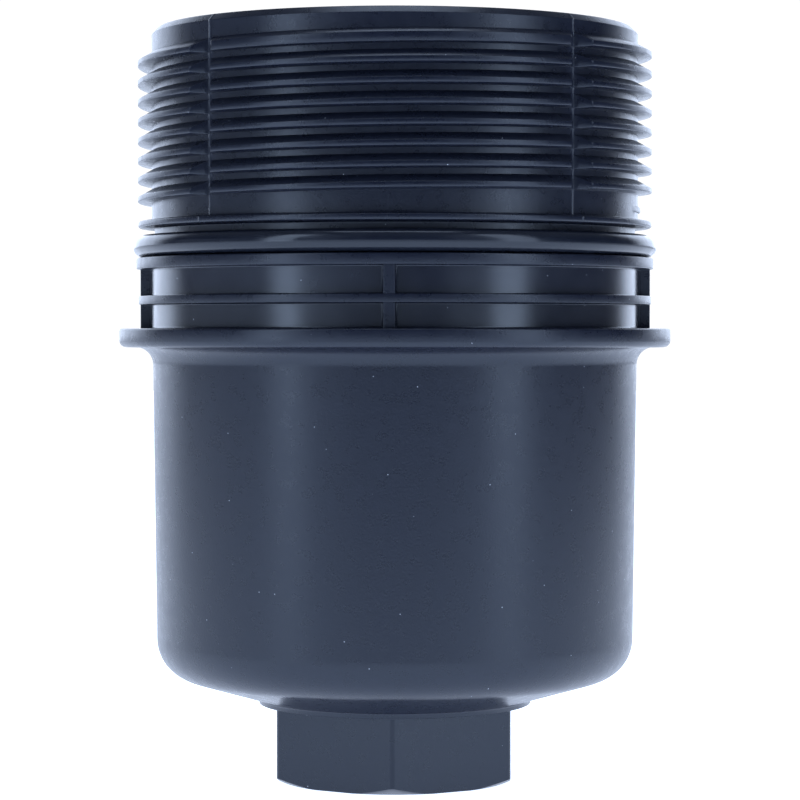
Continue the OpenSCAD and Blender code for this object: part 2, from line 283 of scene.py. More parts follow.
def turned_wall(rows, steps, missing):
    """A wall turned around Z: each row is a pair of (r, z) points, one on each of its faces.
    missing(degrees, row) says where it is cut away between that row and the next."""
    def place(a, b, side):
        return turned(*rows[b][side], TURN * a / steps)

    def solid(a, b):
        return not missing(360 * (a + 0.5) / steps, b)

    return cells(steps, len(rows) - 1, place, solid)


def turned_piece(name, outline, body, material, node, closed=True, steps=144):
    """A piece turned from an outline of (r, z, corner radius)."""
    return add_piece(name, lathe(rounded(outline, closed), steps), body, material, node)


def join(*parts):
    """Several (points, faces) as one."""
    points = []
    faces = []
    for part_points, part_faces in parts:
        shift = len(points)
        points += list(part_points)
        faces += [tuple(i + shift for i in face) for face in part_faces]
    return points, faces


# ---------------------------------------------------------------- materials

COOL_SHEEN = (0.80, 0.90, 1.0, 1.0)
PLASTIC_IOR = 1.53


def put(value, socket):
    """Links a socket to another one or sets it to a value."""
    if isinstance(value, bpy.types.NodeSocket):
        socket.id_data.links.new(value, socket)
    else:
        socket.default_value = value


def feed(node, **inputs):
    """Puts in what is given; an underscore stands for a space in an input's name."""
    for name, value in inputs.items():
        put(value, node.inputs[name.replace("_", " ")])
    return node


def new_node(tree, kind, **inputs):
    """A shader node with its inputs fed."""
    return feed(tree.nodes.new(kind), **inputs)


def new_material(name):
    material = bpy.data.materials.new(name)
    material.use_nodes = True
    tree = material.node_tree
    tree.nodes.clear()
    shader = tree.nodes.new("ShaderNodeBsdfPrincipled")
    new_node(tree, "ShaderNodeOutputMaterial", Surface=shader.outputs["BSDF"])
    return material, tree, shader


def coordinates(tree, stretch=(1, 1, 1)):
    """Object coordinates, optionally stretched."""
    source = tree.nodes.new("ShaderNodeTexCoord")
    mapping = new_node(tree, "ShaderNodeMapping", Vector=source.outputs["Object"], Scale=stretch)
    return mapping.outputs["Vector"]


def noise(vector, size, detail, roughness):
    """Noise whose features are about size mm across."""
    node = new_node(vector.id_data, "ShaderNodeTexNoise", Vector=vector, Scale=1 / (size * MM),
                    Detail=detail, Roughness=roughness)
    return node.outputs["Fac"]


def remap(value, from_low, from_high, to_low, to_high, smooth=False):
    node = new_node(value.id_data, "ShaderNodeMapRange", Value=value, From_Min=from_low,
                    From_Max=from_high, To_Min=to_low, To_Max=to_high)
    if smooth:
        node.interpolation_type = "SMOOTHSTEP"
    return node.outputs["Result"]


def spread(value, low_value, high_value):
    """Noise, which mostly lies between 0.3 and 0.7, spread between two values."""
    return remap(value, 0.3, 0.7, low_value, high_value)


def combine(kind, a, b):
    """a is a socket, and b is a socket or a number."""
    node = a.id_data.nodes.new("ShaderNodeMath")
    node.operation = kind
    put(a, node.inputs[0])
    put(b, node.inputs[1])
    return node.outputs["Value"]


def vector_math(kind, vector, other=(0, 0, 0)):
    """Outputs of a vector operation."""
    node = new_node(vector.id_data, "ShaderNodeVectorMath")
    node.operation = kind
    put(vector, node.inputs[0])
    put(other, node.inputs[1])
    return node.outputs


def mix_colours(factor, first, second):
    """first and second are colours or sockets."""
    node = factor.id_data.nodes.new("ShaderNodeMix")
    node.data_type = "RGBA"
    put(factor, node.inputs["Factor"])
    for name, value in (("A", first), ("B", second)):
        socket = [s for s in node.inputs if s.name == name and s.type == "RGBA"][0]
        put(value + (1.0,) if isinstance(value, tuple) else value, socket)
    return [s for s in node.outputs if s.type == "RGBA"][0]


def bump(height, depth, shader):
    """Bump of that depth in mm."""
    node = new_node(height.id_data, "ShaderNodeBump", Strength=1.0, Distance=depth * MM, Height=height)
    feed(shader, Normal=node.outputs["Normal"])


def dust(vector, spacing, size, share):
    """Tiny specks in a share of the cells: 1 inside a speck and 0 elsewhere."""
    grid = new_node(vector.id_data, "ShaderNodeTexVoronoi", Vector=vector, Scale=1 / (spacing * MM))
    near = remap(grid.outputs["Distance"], size * 0.5, size, 1, 0)
    split = new_node(vector.id_data, "ShaderNodeSeparateColor", Color=grid.outputs["Color"])
    chosen = remap(split.outputs["Red"], 1 - share, 1 - share + 0.01, 0, 1)
    return combine("MULTIPLY", near, chosen)


def polished_part(vector):
    """1 on the walls between the ribs above the flange and 0 elsewhere."""
    soft = 0.15 * MM
    height = new_node(vector.id_data, "ShaderNodeSeparateXYZ", Vector=vector).outputs["Z"]
    above = remap(height, FLANGE_TOP * MM, FLANGE_TOP * MM + soft, 0, 1)
    below = remap(height, PILOT_LOW * MM - soft, PILOT_LOW * MM, 1, 0)
    out = vector_math("LENGTH", vector_math("MULTIPLY", vector, (1, 1, 0))["Vector"])["Value"]
    wall_r = (NECK_R + 0.4) * MM
    on_wall = remap(out, wall_r, wall_r + soft, 1, 0)
    return combine("MULTIPLY", combine("MULTIPLY", above, below), on_wall)


def cap_nylon():
    """Dark slate nylon with a fine matt grain; the walls between the ribs above the flange were
    moulded on polished steel and are smoother."""
    material, tree, shader = new_material("cap_nylon")
    vector = coordinates(tree)
    polished = polished_part(vector)
    mottle = noise(vector, 2.2, 4, 0.6)
    fine = noise(vector, 0.34, 3, 0.6)
    broad = noise(vector, 9, 4, 0.6)
    shade = mix_colours(mottle, (0.0060, 0.0084, 0.0180), (0.0118, 0.0153, 0.0300))
    dark = mix_colours(mottle, (0.0060, 0.0082, 0.0185), (0.0100, 0.0130, 0.0270))
    base = mix_colours(polished, shade, dark)
    specks = dust(vector, 2.1, 0.045, 0.45)
    base = mix_colours(specks, base, (0.60, 0.66, 0.76))
    rough = new_node(tree, "ShaderNodeMix", Factor=polished, A=spread(mottle, 0.25, 0.33),
                     B=spread(broad, 0.19, 0.28))
    feed(shader, Base_Color=base, Roughness=rough.outputs["Result"], IOR=PLASTIC_IOR,
         Specular_IOR_Level=remap(polished, 0, 1, 0.5, 0.68), Specular_Tint=COOL_SHEEN)
    grain_depth = remap(polished, 0, 1, 1.0, 0.15)
    bump(combine("MULTIPLY", fine, grain_depth), 0.022, shader)
    return material


def plastic(name, dark, light, roughness):
    """Moulded plastic with a fine grain and a little variation."""
    material, tree, shader = new_material(name)
    vector = coordinates(tree)
    mottle = noise(vector, 2.5, 4, 0.6)
    feed(shader, Base_Color=mix_colours(mottle, dark, light), IOR=PLASTIC_IOR,
         Roughness=spread(mottle, roughness - 0.05, roughness + 0.05))
    bump(noise(vector, 0.3, 3, 0.6), 0.010, shader)
    return material


def seal_rubber():
    """Black nitrile with a film of oil: glossy, slightly uneven."""
    material, tree, shader = new_material("seal_rubber")
    vector = coordinates(tree)
    mottle = noise(vector, 3, 3, 0.5)
    black = mix_colours(mottle, (0.0085, 0.0112, 0.0200), (0.0125, 0.0160, 0.0270))
    feed(shader, Base_Color=black, Roughness=spread(mottle, 0.16, 0.26), IOR=1.47,
         Specular_Tint=COOL_SHEEN, Coat_Weight=0.12, Coat_Roughness=0.10)
    bump(noise(vector, 1.2, 3, 0.5), 0.012, shader)
    return material


def steel(name, colour, darker, roughness, stretch):
    """Steel with fine drawing or turning lines."""
    material, tree, shader = new_material(name)
    lines = noise(coordinates(tree, stretch), 0.5, 4, 0.6)
    stains = noise(coordinates(tree), 5, 4, 0.6)
    feed(shader, Base_Color=mix_colours(stains, darker, colour), Metallic=1.0,
         Roughness=spread(lines, roughness - 0.07, roughness + 0.07))
    bump(lines, 0.004, shader)
    return material


def filter_paper():
    """Resin-soaked paper: fibres, embossed creases and a warm, uneven tan."""
    material, tree, shader = new_material("filter_paper")
    fibres = noise(coordinates(tree, (1, 1, 0.25)), 0.35, 5, 0.7)
    blotches = noise(coordinates(tree), 6, 4, 0.6)
    tan = mix_colours(blotches, (0.60, 0.47, 0.25), (0.74, 0.62, 0.38))
    pale = remap(fibres, 0.35, 0.7, 0, 0.35)
    feed(shader, Base_Color=mix_colours(pale, tan, (0.86, 0.78, 0.58)), Roughness=0.85,
         Sheen_Weight=0.15)
    bump(fibres, 0.05, shader)
    return material


def bead_glue():
    """Hot-melt glue: creamy, glossy and lumpy."""
    material, tree, shader = new_material("bead_glue")
    lumps = noise(coordinates(tree), 2, 3, 0.5)
    cream = mix_colours(lumps, (0.62, 0.57, 0.42), (0.76, 0.72, 0.58))
    feed(shader, Base_Color=cream, Roughness=spread(lumps, 0.25, 0.42),
         Subsurface_Weight=0.1, Subsurface_Scale=1.0 * MM)
    bump(lumps, 0.08, shader)
    return material


# ---------------------------------------------------------------- the cap, sizes in mm

COS_30 = math.cos(math.radians(30))
HEX_AF = 36.0                   # across the flats, a corner towards -Y
HEX_H = 11.9
HEX_CORNER_R = 1.1
HEX_CHAMFER_R = 18.2            # radius of the chamfer's cone on the end face
HEX_CHAMFER_SLOPE = 2.0
COLLAR_R = HEX_AF / 2 / COS_30 + 0.5
COLLAR_Z = HEX_H + 0.8
CUP_R = 37.75
FOOT_R = 37.2
CORNER_R = 6.5
FLOOR_SLOPE = math.radians(16.2)
WALL = 3.0
FLANGE_TOP = 70.5
FLANGE_T = 2.9
FILLET_R = 2.7
NECK_R = 37.9
RIB_R = 39.85
RIB_W = 1.8
RING_R = 39.95
RING_LOW = FLANGE_TOP + 3.7
RING_HIGH = RING_LOW + 1.3
PILOT_R = 40.3
PILOT_HIGH = FLANGE_TOP + 10.9
PILOT_LOW = PILOT_HIGH - 1.7
GROOVE_R = 37.45
GROOVE_HIGH = PILOT_HIGH + 4.65
RIDGE_R = 40.0
RIDGE_HIGH = GROOVE_HIGH + 1.0
BORE_R = 34.8
WELL_R = 15.0
WELL_Z = 3.6
INNER_FLOOR_Z = 14.0
BOSS_R = 11.2
BOSS_Z = 12.0
HUB_R = 17.4
HUB_Z = 17.5
LEDGE_R = 25.0
LEDGE_Z = 17.0
LEDGE_FOOT_Z = INNER_FLOOR_Z + 0.2
HUB_GAP = 6.0
WEB_T = 1.6
TAB_R = 20.1
TAB_UP = 1.8
TAB_HALF = 5                    # degrees

PLUG_R = (high("drain_plug").x - low("drain_plug").x) / 2
PLUG_LOW = low("drain_plug").z
PLUG_FACE = PLUG_LOW + 2.6
PLUG_SHANK_R = 6.0
PLUG_BORE_R = PLUG_SHANK_R + 0.05
PLUG_SEAT_R = 7.5
PLUG_SEAT_TOP = PLUG_FACE + 2.1

THREAD_R = 40.05
THREAD_DEPTH = 2.15
THREAD_ROOT = THREAD_R - THREAD_DEPTH
PITCH = 3.0
FIRST_CREST = PILOT_HIGH + 7.5
CREST = 0.80
LOWER_FLANK = math.tan(math.radians(5))
UPPER_FLANK = math.tan(math.radians(27.5))
THREAD_START = -15.0            # degrees, where the run-out begins
THREAD_END = 8 * 360 + 58.0
THREAD_RISE = 96.0              # degrees over which the ridge grows
THREAD_FALL = 30.0
TOP_TURN = 7 * 360 + 180        # degrees, where the topmost half turn begins
SPLIT_ENDS = THREAD_R * math.cos(math.radians(48.6))     # X where the front and back ridges end
SPLIT_SIDES = THREAD_R * math.sin(math.radians(42.0))    # and Y where those at the sides end
TOP_CREST_R = 39.2              # the topmost ridge stands lower at the front and the back
TOP_CREST = 1.4
TOP_SHIFT = 0.25
RIM_BEVEL = 1.0
RIM_Z = CAP_H - RIM_BEVEL
WALL_TOP = FLANGE_TOP - FLANGE_T - FILLET_R
COLUMNS = 1200                  # a multiple of 24, so that all parting lines fall on a column
FLASH = 0.09                    # height of the hairline on the parting lines
ON_LINE = 0.02                  # degrees
RIM_FLASH_POINTS = 8            # of the rim's outline, from outside


def hex_radius(degrees):
    """Distance from the axis to the hex's side, with its corners rounded."""
    from_corner = (degrees + 90 + 30) % 60 - 30
    flat_r = HEX_AF / 2 / np.cos(np.radians(30 - np.abs(from_corner)))
    corner_middle = (HEX_AF / 2 - HEX_CORNER_R) / COS_30
    off = np.radians(from_corner)
    inside = np.maximum(0, HEX_CORNER_R ** 2 - (corner_middle * np.sin(off)) ** 2)
    corner_r = corner_middle * np.cos(off) + np.sqrt(inside)
    reach = math.degrees(math.atan2(HEX_CORNER_R / 2, corner_middle + HEX_CORNER_R * COS_30))
    return np.where(np.abs(from_corner) < reach, np.minimum(flat_r, corner_r), flat_r)


def hex_rings(degrees):
    """Radius and height of the rings from the plug's recess over the hex to its shoulder."""
    hex_r = hex_radius(degrees)
    chamfer_z = np.maximum(0.15, (hex_r - HEX_CHAMFER_R) / HEX_CHAMFER_SLOPE)
    nearly = 0.85 * chamfer_z
    return [
        (PLUG_R + 0.5, 0.0),
        (np.minimum(hex_r - 0.35, HEX_CHAMFER_R - 0.3), 0.0),
        (np.minimum(hex_r - 0.12, HEX_CHAMFER_R), 0.04),
        (np.minimum(hex_r - 0.02, HEX_CHAMFER_R + HEX_CHAMFER_SLOPE * nearly), nearly),
        (hex_r, chamfer_z + 0.06),
        (hex_r, HEX_H - 0.25),
        (hex_r + 0.07, HEX_H - 0.06),
        (hex_r + 0.25, HEX_H),
    ]


def floor_arc(foot_r, radius, from_r, from_z, steps):
    """The arc between a floor that rises outwards from (from_r, from_z) and the upright wall."""
    centre_r = foot_r - radius
    centre_z = from_z + (centre_r - from_r) * math.tan(FLOOR_SLOPE) + radius / math.cos(FLOOR_SLOPE)
    return arc((centre_r, centre_z), radius, FLOOR_SLOPE - math.pi / 2, 0, steps)


def outer_profile():
    """Outline of the outside, from the collar over the hex to the neck under the thread."""
    profile = [(COLLAR_R - 0.15, HEX_H), (COLLAR_R - 0.03, HEX_H + 0.05), (COLLAR_R, HEX_H + 0.2),
               (COLLAR_R, COLLAR_Z - 0.3), (COLLAR_R + 0.06, COLLAR_Z - 0.12),
               (COLLAR_R + 0.35, COLLAR_Z + 0.35 * math.tan(FLOOR_SLOPE))]
    profile += floor_arc(FOOT_R, CORNER_R, COLLAR_R, COLLAR_Z, 14)
    profile += arc((CUP_R + FILLET_R, WALL_TOP), FILLET_R, math.pi, math.pi / 2, 8)
    flange_low = FLANGE_TOP - FLANGE_T
    edge = [(CUP_R + FILLET_R, flange_low, 0), (FLANGE_R, flange_low, 1.0), (FLANGE_R, FLANGE_TOP, 0.35),
            (NECK_R, FLANGE_TOP, 0.3), (NECK_R, RING_LOW, 0.2), (RING_R, RING_LOW, 0.16),
            (RING_R, RING_HIGH, 0.16), (NECK_R, RING_HIGH, 0.2), (NECK_R, PILOT_LOW, 0.2),
            (PILOT_R, PILOT_LOW, 0.18), (PILOT_R, PILOT_HIGH, 0.25), (GROOVE_R, PILOT_HIGH, 0.3),
            (GROOVE_R, GROOVE_HIGH, 0.3), (RIDGE_R, GROOVE_HIGH, 0.35), (RIDGE_R, RIDGE_HIGH, 0.35),
            (THREAD_ROOT, RIDGE_HIGH + 0.15, 0.2), (THREAD_ROOT, RIDGE_HIGH + 1.2, 0)]
    return profile + rounded(edge, closed=False)[1:-1]


def rim_profile():
    """Outline over the rim to the top of the bore."""
    return rounded([(THREAD_ROOT, RIM_Z - 0.15, 0), (THREAD_ROOT, RIM_Z, 0.3),
                    (THREAD_ROOT - RIM_BEVEL, CAP_H, 0.35), (BORE_R + 0.5, CAP_H, 0.25),
                    (BORE_R, CAP_H - 0.5, 0.2), (BORE_R, WALL_TOP, 0)], closed=False)[1:]


def floor_profile():
    """Outline of the inner floor, well, boss and the plug's passage."""
    profile = floor_arc(FOOT_R - WALL, CORNER_R - WALL, WELL_R, INNER_FLOOR_Z, 8)[::-1]
    passage = [(WELL_R, INNER_FLOOR_Z, 0.25), (WELL_R, WELL_Z, 0.6), (BOSS_R, WELL_Z, 0.5),
               (BOSS_R, BOSS_Z, 0.3), (PLUG_BORE_R, BOSS_Z, 0.25), (PLUG_BORE_R, PLUG_SEAT_TOP, 0.15),
               (PLUG_SEAT_R, PLUG_SEAT_TOP, 0.15), (PLUG_SEAT_R, PLUG_FACE, 0.1),
               (PLUG_R + 0.3, PLUG_FACE, 0.15), (PLUG_R + 0.3, 0.2, 0), (PLUG_R + 0.5, 0, 0)]
    return profile + rounded([profile[-1] + (0,)] + passage, closed=False)[1:-1]


SECTION_POINTS = 9


def thread_section(d, angle, root, grow):
    """Section of the ridge from its lower to its upper root, d degrees along the helix. The
    ridge is cut off square near the parting lines; grow is 0 where it runs out and 1 at its full
    height."""
    c, s = abs(math.cos(angle)), abs(math.sin(angle))
    full = THREAD_ROOT + THREAD_DEPTH * grow
    crest = CREST
    z = FIRST_CREST + PITCH * d / 360
    front_or_back = s > c
    if front_or_back and d > TOP_TURN:
        full = min(full, TOP_CREST_R)
        crest = TOP_CREST
        z += TOP_SHIFT
    clip = SPLIT_ENDS / max(c, 0.1) if front_or_back else SPLIT_SIDES / max(s, 0.1)
    cut = max(THREAD_ROOT + 0.01, min(full, clip))
    lost = full - cut
    tall = full - THREAD_ROOT
    low_root = z - crest / 2 - LOWER_FLANK * tall
    high_root = z + crest / 2 + UPPER_FLANK * tall
    low_edge = z - crest / 2 - LOWER_FLANK * lost
    high_edge = z + crest / 2 + UPPER_FLANK * lost
    soft = min(0.11, 0.3 * (cut - THREAD_ROOT))
    outline = [
        (root, low_root - 0.03),
        (root + min(0.05, (cut - root) * 0.3), low_root),
        (cut - soft, low_edge - 0.02),
        (cut - soft * 0.3, low_edge + soft * 0.3),
        (cut, low_edge + soft),
        (cut, high_edge - soft * 0.8),
        (cut - soft * 0.35, high_edge - soft * 0.1),
        (root + min(0.08, (cut - root) * 0.3), high_root - 0.03),
        (root, high_root + 0.02),
    ]
    rising = []
    level = -1.0
    for r, h in outline:
        level = max(h, level + 0.012)
        rising.append((r, level))
    return rising


def cap_mesh():
    """The cap as one closed grid of columns round the axis, with the helical thread let into
    its outside."""
    degrees = THREAD_START + 360 / COLUMNS * np.arange(COLUMNS)
    angle = np.radians(degrees)
    from_rib = np.abs((degrees + 45) % 90 - 45)
    rib_edge = math.degrees(math.asin(RIB_W / 2 / RIB_R)) + 0.01
    rib_r = np.where(from_rib > rib_edge - 0.2, RIB_R - 0.06, RIB_R)
    flash = FLASH * (np.abs(degrees % 90 - 45) < ON_LINE)
    flash = flash + 0.5 * FLASH * (np.abs(degrees % 180 - 90) < ON_LINE)
    points = []
    faces = []

    def ring(r, z):
        """Adds one ring of points and returns its first index."""
        r = np.broadcast_to(r, COLUMNS)
        z = np.broadcast_to(z, COLUMNS)
        points.extend(zip(r * np.cos(angle), r * np.sin(angle), z))
        return len(points) - COLUMNS

    def bands(rings):
        for a, b in zip(rings, rings[1:]):
            faces.extend(band(a, b, COLUMNS))

    outer = [ring(r, z) for r, z in hex_rings(degrees)]
    for r, z in outer_profile():
        here = np.full(COLUMNS, r)
        if FLANGE_TOP + 0.01 < z < PILOT_LOW - 0.01:
            here = np.where(from_rib < rib_edge, np.maximum(here, rib_r), here)
        if z > GROOVE_HIGH:
            here = here + flash
        outer.append(ring(here, z))
    neck = ring(THREAD_ROOT + flash, RIDGE_HIGH + 0.55)
    bands(outer + [neck])

    # the thread's ribbon, with the first index of each section
    last = int((THREAD_END - THREAD_START) * COLUMNS / 360)
    top_point = SECTION_POINTS - 1
    ribbon = []
    for k in range(last + 1):
        j = k % COLUMNS
        d = degrees[j] + 360 * (k // COLUMNS)
        rise = min(1.0, (d - THREAD_START) / THREAD_RISE)
        fall = min(1.0, (THREAD_END - d) / THREAD_FALL)
        grow = 0.0 if k in (0, last) else min(rise ** 0.85, fall ** 0.6)
        ribbon.append(len(points))
        for r, z in thread_section(d, angle[j], THREAD_ROOT + flash[j], grow):
            points.append(turned(r, z, angle[j]))
    for a, b in zip(ribbon, ribbon[1:]):
        faces += [(a + q, b + q, b + q + 1, a + q + 1) for q in range(top_point)]

    # root strips: neck to first turn, turn to turn, last turn to rim
    rim = ring(THREAD_ROOT + flash, RIM_Z - 0.15)

    def under(k):
        """Index of what lies under the ribbon's lower root at section k."""
        return neck + k if k < COLUMNS else ribbon[k - COLUMNS] + top_point

    for k in range(last):
        if k + 1 != COLUMNS:
            faces.append((under(k), under(k + 1), ribbon[k + 1], ribbon[k]))
    start = [ribbon[0] + q for q in range(SECTION_POINTS)]
    faces.append((under(COLUMNS - 1), neck, *start, ribbon[COLUMNS], ribbon[COLUMNS - 1]))
    for k in range(last - COLUMNS, last):
        over = (rim + (k + 1) % COLUMNS, rim + k % COLUMNS)
        face = (ribbon[k] + top_point, ribbon[k + 1] + top_point, *over)
        if k == last - COLUMNS:
            face += tuple(ribbon[last] + q for q in reversed(range(SECTION_POINTS)))
        faces.append(face)

    rim_rings = [ring(r + flash, z) for r, z in rim_profile()[:RIM_FLASH_POINTS]]
    rim_rings += [ring(r, z) for r, z in rim_profile()[RIM_FLASH_POINTS:] + floor_profile()]
    bands([rim] + rim_rings + [outer[0]])
    return points, faces


def boss_web(turn):
    """One of the upright webs between the plug's boss and the well's wall."""
    low_z = WELL_Z - 1
    outline = [(BOSS_R - 0.6, low_z), (WELL_R + 0.5, low_z), (WELL_R + 0.5, BOSS_Z), (BOSS_R - 0.6, BOSS_Z)]
    c, s = math.cos(turn), math.sin(turn)
    return stacked([[(x * c - side * s, x * s + side * c, z) for x, z in outline]
                    for side in (-WEB_T / 2, WEB_T / 2)])


def broken_ring(low_r, high_r, low_z, high_z, solid):
    """A flat ring around Z; solid(degrees) says where it is."""
    def place(a, b, side):
        return turned((low_r, high_r)[b], (low_z, high_z)[side], TURN * a / 360)

    return cells(360, 1, place, lambda a, b: solid(a + 0.5))


def from_nearest(degrees, step, first=0):
    """Degrees to the nearest of the directions that lie a step apart."""
    off = (degrees - first) % step
    return min(off, step - off)


def outside_gap(radius):
    """Says of a direction whether it is clear of the four oil gaps, HUB_GAP wide at the radius."""
    def clear(degrees):
        return math.sin(math.radians(from_nearest(degrees, 90, 45))) * radius >= HUB_GAP / 2

    return clear


def cap_floor_features():
    """What stands on the floor inside: webs of the plug's boss, the hub around the valve
    carrier, the spring's ledge and its centring tabs. All are sunk into the floor."""
    parts = [boss_web(TURN * i / 6) for i in range(6)]
    parts.append(broken_ring(WELL_R, HUB_R, INNER_FLOOR_Z - 1.5, HUB_Z, outside_gap(WELL_R + 1)))
    parts.append(broken_ring(HUB_R - 0.4, LEDGE_R, LEDGE_FOOT_Z, LEDGE_Z, outside_gap(HUB_R + 3)))
    parts.append(broken_ring(HUB_R - 0.4, TAB_R, LEDGE_Z - 0.5, LEDGE_Z + TAB_UP,
                             lambda degrees: from_nearest(degrees, 120) < TAB_HALF))
    return join(*parts)


# ---------------------------------------------------------------- materials in use

nylon = cap_nylon()
rubber = seal_rubber()
plug_nylon = plastic("plug_nylon", (0.011, 0.012, 0.015), (0.017, 0.018, 0.022), 0.38)
insert_nylon = plastic("insert_nylon", (0.020, 0.021, 0.023), (0.030, 0.031, 0.034), 0.42)
end_plastic = plastic("end_cap_plastic", (0.030, 0.032, 0.036), (0.046, 0.049, 0.054), 0.36)
core_plastic = plastic("core_plastic", (0.020, 0.020, 0.022), (0.030, 0.030, 0.032), 0.40)
valve_steel = steel("valve_steel", (0.66, 0.67, 0.68), (0.50, 0.51, 0.53), 0.28, (1, 1, 8))
spring_steel = steel("spring_steel", (0.48, 0.48, 0.49), (0.33, 0.33, 0.35), 0.32, (8, 1, 1))
paper = filter_paper()
glue = bead_glue()


# ---------------------------------------------------------------- cap and seals

def o_ring(name, body, node, section_steps, steps):
    """A rubber ring as thick as its CAD node is tall."""
    top = high(node)
    section_r = (top.z - low(node).z) / 2
    outline = arc((top.x - section_r, top.z - section_r), section_r, 0, TURN, section_steps)[:-1]
    return add_piece(name, lathe(outline, steps), body, rubber, node, sharp=60)


add_piece("cap_shell", cap_mesh(), "cap", nylon, "filter_cap", sharp=38)
features = add_piece("cap_floor_features", cap_floor_features(), "cap", nylon, "filter_cap")
bevel(features, 0.2, limit=40)
o_ring("big_o_ring", "cap", "cap_o_ring", 40, 360)

# ---------------------------------------------------------------- drain plug

PLUG_PITCH = 1.5
PLUG_THREAD_DEPTH = 0.75
PLUG_NECK_R = 5.5
PLUG_NECK_TOP = high("drain_plug_o_ring").z + 0.3
SOCKET_AF = 8.0
SOCKET_DEPTH = 6.0
KNURLS = 32
KNURL_DEPTH = 0.22


def helix_thread(outer_r, depth, pitch, z_low, z_high, columns=72):
    """A threaded shank as rings whose radius follows the helix, so the ridges wind."""
    rows = int((z_high - z_low) / pitch * 12)
    fade = pitch * 0.8
    rings = []
    for i in range(rows + 1):
        z = z_low + (z_high - z_low) * i / rows
        room = max(0.0, min(1.0, (z - z_low) / fade, (z_high - z) / fade))
        ring = []
        for j in range(columns):
            phase = (z / pitch - j / columns) % 1
            ridge = max(0.0, min(1.0, 2.6 - abs(phase - 0.5) * 6.4))
            ring.append(turned(outer_r - depth + depth * ridge * room, z, TURN * j / columns))
        rings.append(ring)
    return stacked(rings)


def drain_plug_head():
    """Head with its hex socket and knurled rim, and the neck that carries the plug's O-ring."""
    columns = 192
    column = np.arange(columns)
    socket_r = SOCKET_AF / 2
    corner_r = socket_r / math.cos(TURN / 12)
    socket = socket_r / np.cos(np.radians((360 * column / columns) % 60 - 30))
    knurl = PLUG_R - KNURL_DEPTH * np.maximum(0.0, np.cos(TURN * KNURLS * column / columns)) ** 2
    socket_end = PLUG_LOW + SOCKET_DEPTH
    levels = [
        (0.3, socket_end - 0.2),
        (socket - 0.5, socket_end - 0.2),
        (socket, socket_end - 0.9),
        (socket, PLUG_LOW + 0.5),
        (socket + 0.1, PLUG_LOW + 0.3),
        (corner_r + 0.35, PLUG_LOW + 0.05),
        (corner_r + 0.6, PLUG_LOW),
        (PLUG_R - 0.8, PLUG_LOW),
        (knurl - 0.3, PLUG_LOW + 0.12),
        (knurl - 0.02, PLUG_LOW + 0.5),
        (knurl, PLUG_FACE - 0.35),
        (knurl - 0.1, PLUG_FACE - 0.1),
        (PLUG_R - 0.4, PLUG_FACE),
        (PLUG_NECK_R + 0.25, PLUG_FACE),
        (PLUG_NECK_R, PLUG_FACE + 0.2),
        (PLUG_NECK_R, PLUG_NECK_TOP),
        (PLUG_NECK_R - 0.9, PLUG_NECK_TOP + 0.4),
        (0.3, PLUG_NECK_TOP + 0.4),
    ]
    rings = []
    for radii, z in levels:
        radii = np.broadcast_to(radii, columns)
        rings.append([turned(radii[j], z, TURN * j / columns) for j in range(columns)])
    return stacked(rings)


add_piece("drain_plug_head", drain_plug_head(), "drain_plug", plug_nylon, "drain_plug")
shank = helix_thread(PLUG_SHANK_R, PLUG_THREAD_DEPTH, PLUG_PITCH, PLUG_NECK_TOP - 0.2, high("drain_plug").z)
add_piece("drain_plug_shank", shank, "drain_plug", plug_nylon, "drain_plug")
o_ring("plug_o_ring", "drain_plug_seal", "drain_plug_o_ring", 24, 120)

# ---------------------------------------------------------------- valve carrier and bypass valve

CARRIER_R = 13.2
CARRIER_BORE_R = CARRIER_R - 1.8
CARRIER_LEDGE_R = 9.0
CARRIER_WINDOW_HALF = 12        # degrees
PORT_R = 7.2
STEM_R = 2.0
DISC_T = 1.2
DISC_HUB_R = 4.0
VALVE_WIRE = 1.1
RETAINER_T = 1.0
RETAINER_LEG_HALF = 22          # degrees, of the legs between the retainer's windows

skirt_r, carrier_low, carrier_top = extent("valve_carrier")
skirt_in = skirt_r - 1.8
seat_r, seat_z, seat_top = extent("bypass_valve_seat")
carrier_rows = [((skirt_in + 0.25, carrier_low), (skirt_r - 0.25, carrier_low))]
carrier_rows += [((skirt_in, carrier_low + up), (skirt_r, carrier_low + up)) for up in (0.25, 2.5, 7.9)]
carrier_rows += [
    ((skirt_in, seat_z - 1.7), (skirt_r, seat_z - 1.6)),
    ((skirt_in - 0.2, seat_z - 1.5), (skirt_r - 0.1, seat_z - 1.4)),
    ((CARRIER_LEDGE_R, seat_z - 1.5), (CARRIER_R + 0.2, seat_z - 0.15)),
    ((CARRIER_LEDGE_R, seat_z), (CARRIER_R, seat_z + 0.1)),
    ((CARRIER_BORE_R, seat_z), (CARRIER_R, seat_z + 0.3)),
    ((CARRIER_BORE_R, carrier_top - 0.4), (CARRIER_R, carrier_top - 0.9)),
    ((CARRIER_BORE_R + 0.1, carrier_top - 0.1), (CARRIER_R - 0.2, carrier_top - 0.55)),
    ((CARRIER_BORE_R + 0.3, carrier_top), (CARRIER_R - 0.8, carrier_top)),
]
WINDOW_ROW = 2


def carrier_window(degrees, row):
    return row == WINDOW_ROW and from_nearest(degrees, 90, 45) < CARRIER_WINDOW_HALF


carrier = add_piece("valve_carrier_tube", turned_wall(carrier_rows, 360, carrier_window), "cap",
                    insert_nylon, "valve_carrier")
bevel(carrier, 0.15)

turned_piece("bypass_seat_ring", [
    (PORT_R, seat_z, 0.3), (seat_r, seat_z, 0.2), (seat_r, seat_top - 0.4, 0.2),
    (PORT_R + 0.8, seat_top - 0.4, 0.15), (PORT_R + 0.8, seat_top, 0.2), (PORT_R, seat_top, 0.2)],
    "cap", valve_steel, "bypass_valve_seat")

